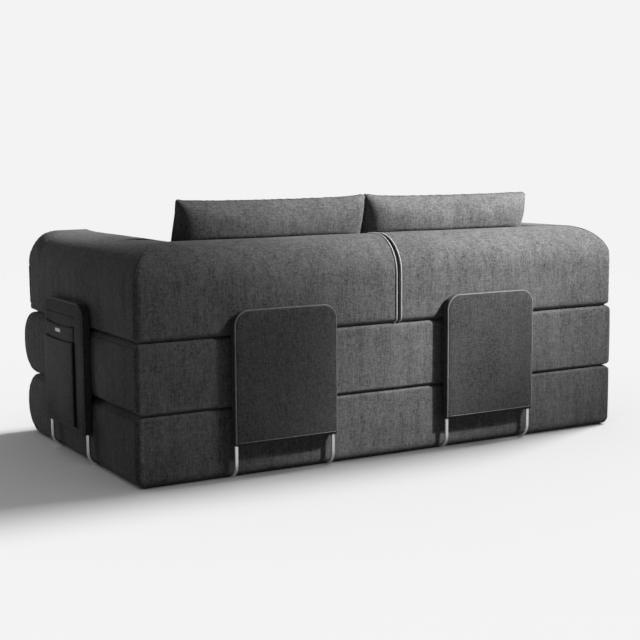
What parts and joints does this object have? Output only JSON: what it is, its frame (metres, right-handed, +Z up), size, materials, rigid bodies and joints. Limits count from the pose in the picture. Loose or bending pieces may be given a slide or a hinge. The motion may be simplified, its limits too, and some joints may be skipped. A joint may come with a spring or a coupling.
{
  "type": "sofa bed",
  "caption": "Fold-out foam sofa bed with stacked mattresses, corner bolsters as back and arms, loose pillows and padded pull-out brackets.",
  "frame": {"origin": "on the floor, under the middle of the upper mattress's footprint", "axes": "+X to the sitter's left along the sofa's width, +Y from front to back, +Z up"},
  "size_m": [1.8832, 1.075, 0.8344],
  "materials": {
    "charcoal_chenille": "mottled woven chenille, matt",
    "sleeve_fabric": "finer woven upholstery fabric, matt",
    "light_piping": "light grey woven piping",
    "non_slip_fabric": "black non-slip backing fabric",
    "foam": "open-cell foam, matt",
    "pillow_filling": "fibre filling, matt",
    "felt_pad": "grey felt, matt",
    "board": "raw board",
    "steel_tube": "satin light grey tube",
    "metal_tab": "satin",
    "plastic_cap": "black, matt"
  },
  "bodies": {
    "lower_mattress": {"base_cover": "charcoal_chenille", "base_foam": "foam", "base_underside": "non_slip_fabric", "hinge_lower": "charcoal_chenille"},
    "upper_mattress": {"seat_cover": "charcoal_chenille", "seat_foam": "foam", "hinge_upper": "charcoal_chenille"},
    "left_bolster": {"left_bolster_cover": "charcoal_chenille", "left_bolster_end": "charcoal_chenille", "left_bolster_foam": "foam", "left_bolster_piping": "light_piping"},
    "right_bolster": {"right_bolster_cover": "charcoal_chenille", "right_bolster_end": "charcoal_chenille", "right_bolster_foam": "foam", "right_bolster_piping": "light_piping"},
    "left_pillow": {"left_pillow_cover": "charcoal_chenille", "left_pillow_filling": "pillow_filling"},
    "right_pillow": {"right_pillow_cover": "charcoal_chenille", "right_pillow_filling": "pillow_filling"},
    "rear_left_bracket": {"rear_left_foot": "steel_tube", "rear_left_frame": "steel_tube", "rear_left_board": "board", "rear_left_pad_outer": "felt_pad", "rear_left_pad_inner": "felt_pad", "rear_left_sleeve": "sleeve_fabric", "rear_left_cap_a": "plastic_cap", "rear_left_cap_b": "plastic_cap"},
    "rear_right_bracket": {"rear_right_foot": "steel_tube", "rear_right_frame": "steel_tube", "rear_right_board": "board", "rear_right_pad_outer": "felt_pad", "rear_right_pad_inner": "felt_pad", "rear_right_sleeve": "sleeve_fabric", "rear_right_cap_a": "plastic_cap", "rear_right_cap_b": "plastic_cap"},
    "side_left_bracket": {"side_left_foot": "steel_tube", "side_left_frame": "steel_tube", "side_left_board": "board", "side_left_pad_outer": "felt_pad", "side_left_pad_inner": "felt_pad", "side_left_sleeve": "sleeve_fabric", "side_left_cap_a": "plastic_cap", "side_left_cap_b": "plastic_cap", "pocket_patch": "sleeve_fabric", "pocket_middle": "sleeve_fabric", "pocket_front": "sleeve_fabric", "pocket_tab": "metal_tab"},
    "side_right_bracket": {"side_right_foot": "steel_tube", "side_right_frame": "steel_tube", "side_right_board": "board", "side_right_pad_outer": "felt_pad", "side_right_pad_inner": "felt_pad", "side_right_sleeve": "sleeve_fabric", "side_right_cap_a": "plastic_cap", "side_right_cap_b": "plastic_cap"}
  },
  "joints": [
    {"name": "fold_out", "type": "hinge", "parent": "lower_mattress", "child": "upper_mattress", "pos_m": [0, -0.508, 0.214], "axis": [1, 0, 0], "range_deg": [0, 180]},
    {"name": "left_bolster_carry", "type": "hinge", "parent": "upper_mattress", "child": "left_bolster", "pos_m": [0, 0.5212, 0.428], "axis": [1, 0, 0], "range_deg": [-180, 0]},
    {"name": "right_bolster_carry", "type": "hinge", "parent": "upper_mattress", "child": "right_bolster", "pos_m": [0, 0.5212, 0.428], "axis": [1, 0, 0], "range_deg": [-180, 0]},
    {"name": "left_pillow_lift", "type": "slide", "parent": "left_bolster", "child": "left_pillow", "axis": [0, 0, 1], "range_m": [0, 0.45]},
    {"name": "right_pillow_lift", "type": "slide", "parent": "right_bolster", "child": "right_pillow", "axis": [0, 0, 1], "range_m": [0, 0.45]},
    {"name": "rear_left_pull_out", "type": "slide", "parent": "lower_mattress", "child": "rear_left_bracket", "axis": [0, 1, 0], "range_m": [0, 0.33]},
    {"name": "rear_right_pull_out", "type": "slide", "parent": "lower_mattress", "child": "rear_right_bracket", "axis": [0, 1, 0], "range_m": [0, 0.33]},
    {"name": "side_left_pull_out", "type": "slide", "parent": "lower_mattress", "child": "side_left_bracket", "axis": [1, 0, 0], "range_m": [0, 0.33]},
    {"name": "side_right_pull_out", "type": "slide", "parent": "lower_mattress", "child": "side_right_bracket", "axis": [-1, 0, 0], "range_m": [0, 0.33]}
  ],
  "couplings": [
    {"joint": "left_bolster_carry", "follows": "fold_out", "ratio": -1},
    {"joint": "right_bolster_carry", "follows": "fold_out", "ratio": -1}
  ]
}
